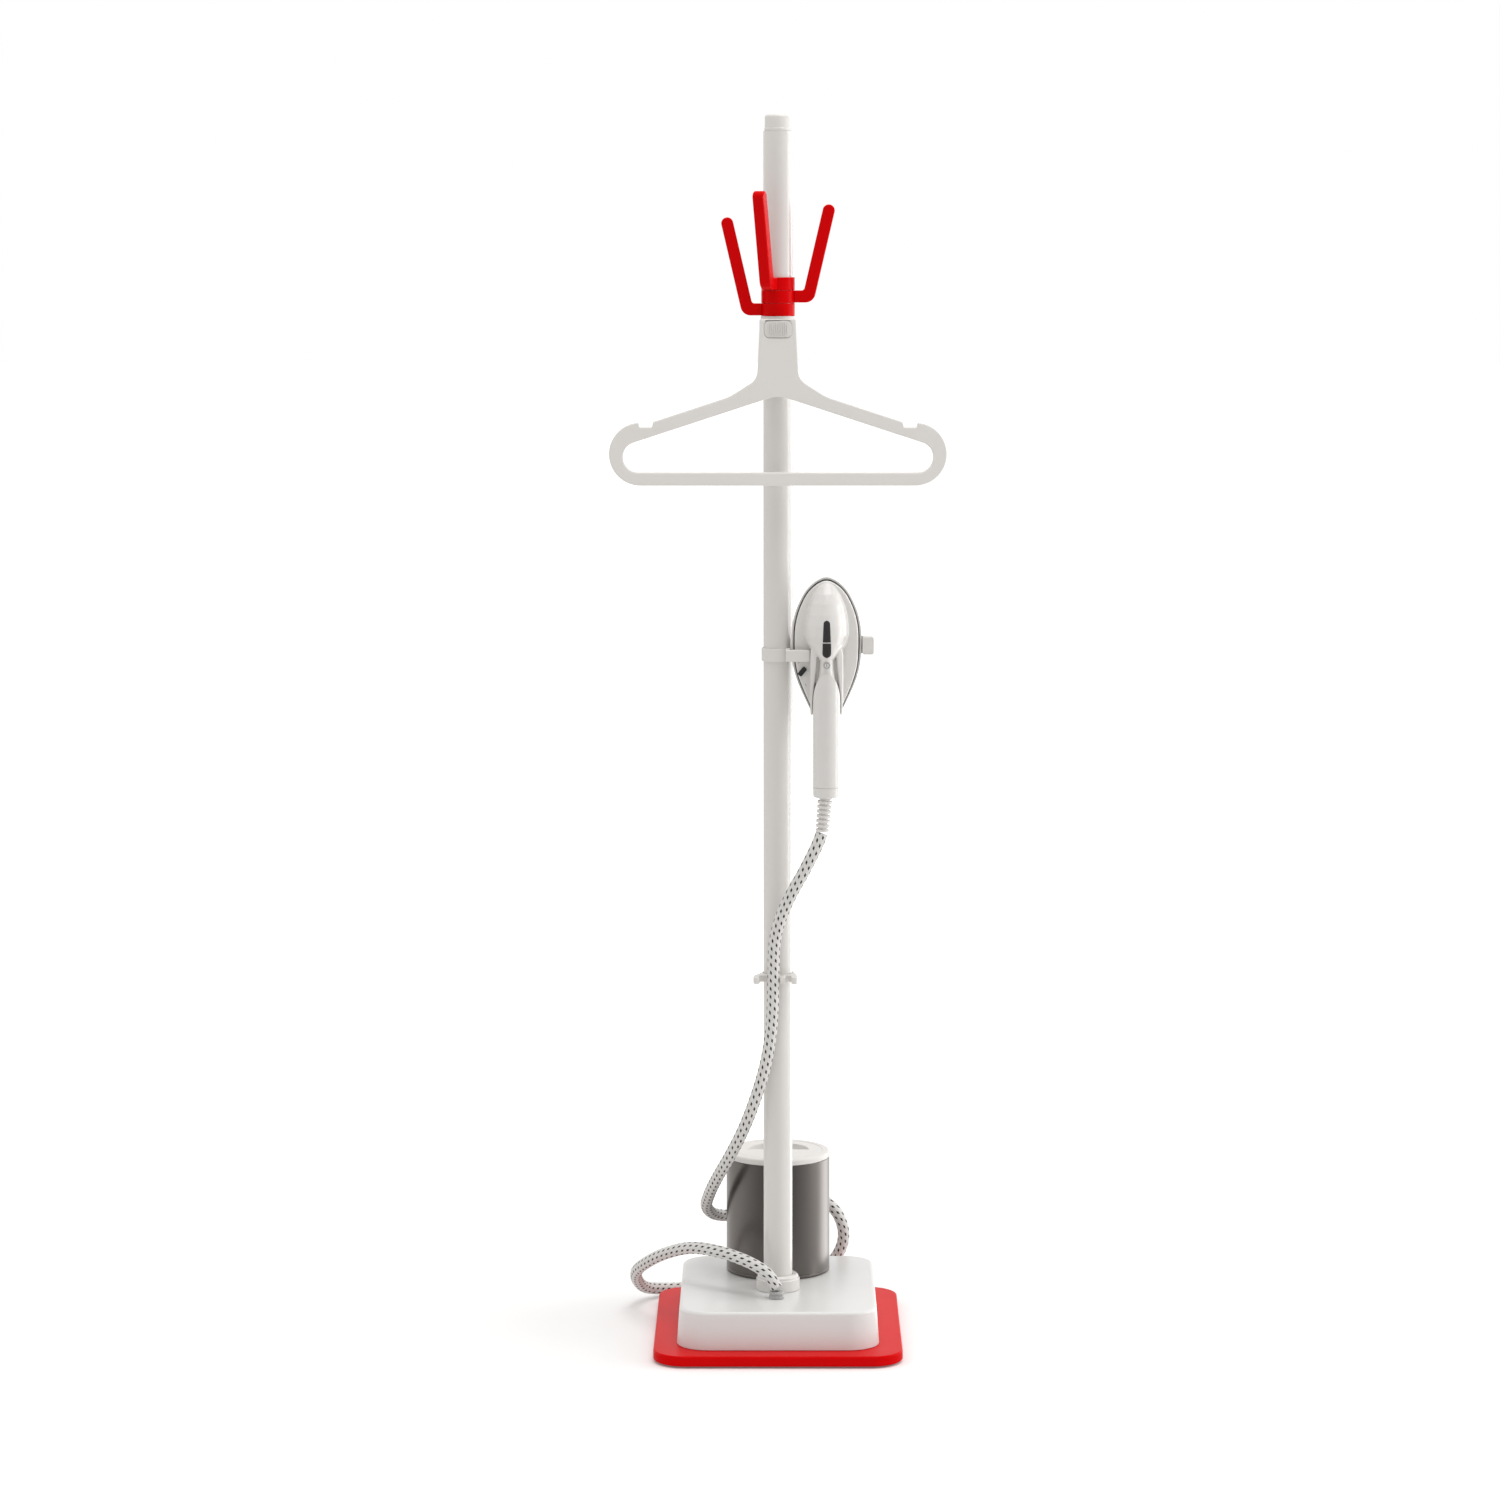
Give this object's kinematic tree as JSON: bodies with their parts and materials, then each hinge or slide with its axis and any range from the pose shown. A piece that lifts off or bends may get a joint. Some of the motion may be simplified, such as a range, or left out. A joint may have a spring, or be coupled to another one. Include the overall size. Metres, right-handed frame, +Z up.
{
  "type": "garment steamer",
  "caption": "Upright garment steamer with a weighted base, lift-off water tank, pole with sliding hanger and swinging hooks, and a steam handset on a hose.",
  "frame": {"origin": "centre of the base tray's footprint, on the floor", "axes": "+X is the viewer's right and runs along the hanger, +Y points away from the viewer, +Z is up along the pole"},
  "size_m": [0.4328, 0.4048, 1.6],
  "materials": {
    "white_plastic": "satin moulded",
    "pole_white": "satin powder coat",
    "red_plastic": "satin moulded",
    "tank_grey": "satin, metallic tint",
    "dark_plastic": "satin",
    "seal_grey": "matte",
    "foot_rubber": "matte",
    "smoke_plastic": "translucent smoke",
    "hose_braid": "woven textile braid",
    "steel": "brushed",
    "cast_aluminium": "as cast",
    "brass": "satin",
    "board_green": "solder mask"
  },
  "bodies": {
    "root": {"base_tray": "red_plastic", "foot_front_left": "foot_rubber", "foot_front_right": "foot_rubber", "foot_rear_left": "foot_rubber", "foot_rear_right": "foot_rubber", "base_cover": "white_plastic", "cord_gland": "foot_rubber", "hose_connector": "smoke_plastic", "ballast_plate": "steel", "boiler": "cast_aluminium", "boiler_element": "steel", "water_pump": "dark_plastic", "steam_valve": "brass", "control_board": "board_green", "tank_dock": "seal_grey", "steam_pipe": "seal_grey", "water_pipe": "smoke_plastic", "pole_socket": "white_plastic", "pole_lower": "pole_white", "pole_middle": "pole_white", "pole_upper": "pole_white", "pole_bolt": "steel", "spigot_lower": "cast_aluminium", "spigot_upper": "cast_aluminium", "pole_cap": "white_plastic", "hose_guide": "white_plastic", "cradle_clamp": "white_plastic", "clamp_screw": "steel", "cradle": "white_plastic", "steam_hose": "hose_braid"},
    "carriage": {"carriage": "white_plastic"},
    "hook_lower": {"hook_lower": "red_plastic"},
    "hook_middle": {"hook_middle": "red_plastic"},
    "hook_upper": {"hook_upper": "red_plastic"},
    "hanger": {"hanger": "white_plastic", "hanger_collar": "white_plastic", "button_spring": "steel"},
    "release_button": {"release_button": "white_plastic"},
    "tank": {"tank_body": "tank_grey", "valve_spring": "steel"},
    "tank_valve": {"tank_valve": "dark_plastic"},
    "tank_lid": {"tank_lid": "white_plastic", "lid_seal": "seal_grey"},
    "handset": {"soleplate": "steel", "skirt": "white_plastic", "gasket": "seal_grey", "upper_housing": "white_plastic", "indicator_window": "dark_plastic", "steam_block": "cast_aluminium", "handle_front": "white_plastic", "handle_rear": "white_plastic", "handle_cap": "white_plastic", "hose_boot": "white_plastic"},
    "power_button": {"power_button": "white_plastic"},
    "steam_lever": {"steam_lever": "dark_plastic"},
    "steam_trigger": {"steam_trigger": "white_plastic"}
  },
  "joints": [
    {"name": "carriage_slide", "type": "slide", "parent": "root", "child": "carriage", "axis": [0, 0, 1], "range_m": [-0.05, 0.17]},
    {"name": "hanger_swivel", "type": "hinge", "parent": "carriage", "child": "hanger", "pos_m": [0, -0.026, 1.3], "axis": [0, 0, 1], "range_deg": [-90, 90]},
    {"name": "release_press", "type": "slide", "parent": "hanger", "child": "release_button", "axis": [0, 1, 0], "range_m": [0, 0.003], "stiffness_N_per_m": 600, "deforming": ["button_spring"]},
    {"name": "hook_lower_turn", "type": "hinge", "parent": "carriage", "child": "hook_lower", "pos_m": [0, -0.026, 1.3516], "axis": [0, 0, 1], "range_deg": [-75, 20]},
    {"name": "hook_middle_turn", "type": "hinge", "parent": "carriage", "child": "hook_middle", "pos_m": [0, -0.026, 1.3681], "axis": [0, 0, 1], "range_deg": [-40, 75]},
    {"name": "hook_upper_turn", "type": "hinge", "parent": "carriage", "child": "hook_upper", "pos_m": [0, -0.026, 1.3846], "axis": [0, 0, 1], "range_deg": [-20, 40]},
    {"name": "tank_lift", "type": "slide", "parent": "root", "child": "tank", "axis": [0, 0, 1], "range_m": [0, 0.17]},
    {"name": "tank_valve_lift", "type": "slide", "parent": "tank", "child": "tank_valve", "axis": [0, 0, 1], "range_m": [0, 0.004], "stiffness_N_per_m": 150, "deforming": ["valve_spring"]},
    {"name": "lid_lift", "type": "slide", "parent": "tank", "child": "tank_lid", "axis": [0, 0, 1], "range_m": [0, 0.04]},
    {"name": "handset_lift", "type": "slide", "parent": "root", "child": "handset", "axis": [0, 0, 1], "range_m": [0, 0.06]},
    {"name": "power_press", "type": "slide", "parent": "handset", "child": "power_button", "axis": [0, 1, 0], "range_m": [0, 0.0012], "stiffness_N_per_m": 400},
    {"name": "steam_lever_turn", "type": "hinge", "parent": "handset", "child": "steam_lever", "pos_m": [0.033, -0.0578, 0.8895], "axis": [0, 1, 0], "range_deg": [-15, 15]},
    {"name": "trigger_pull", "type": "hinge", "parent": "handset", "child": "steam_trigger", "pos_m": [0.0625, -0.062, 0.822], "axis": [1, 0, 0], "range_deg": [-6, 0], "stiffness_Nm_per_rad": 2}
  ]
}
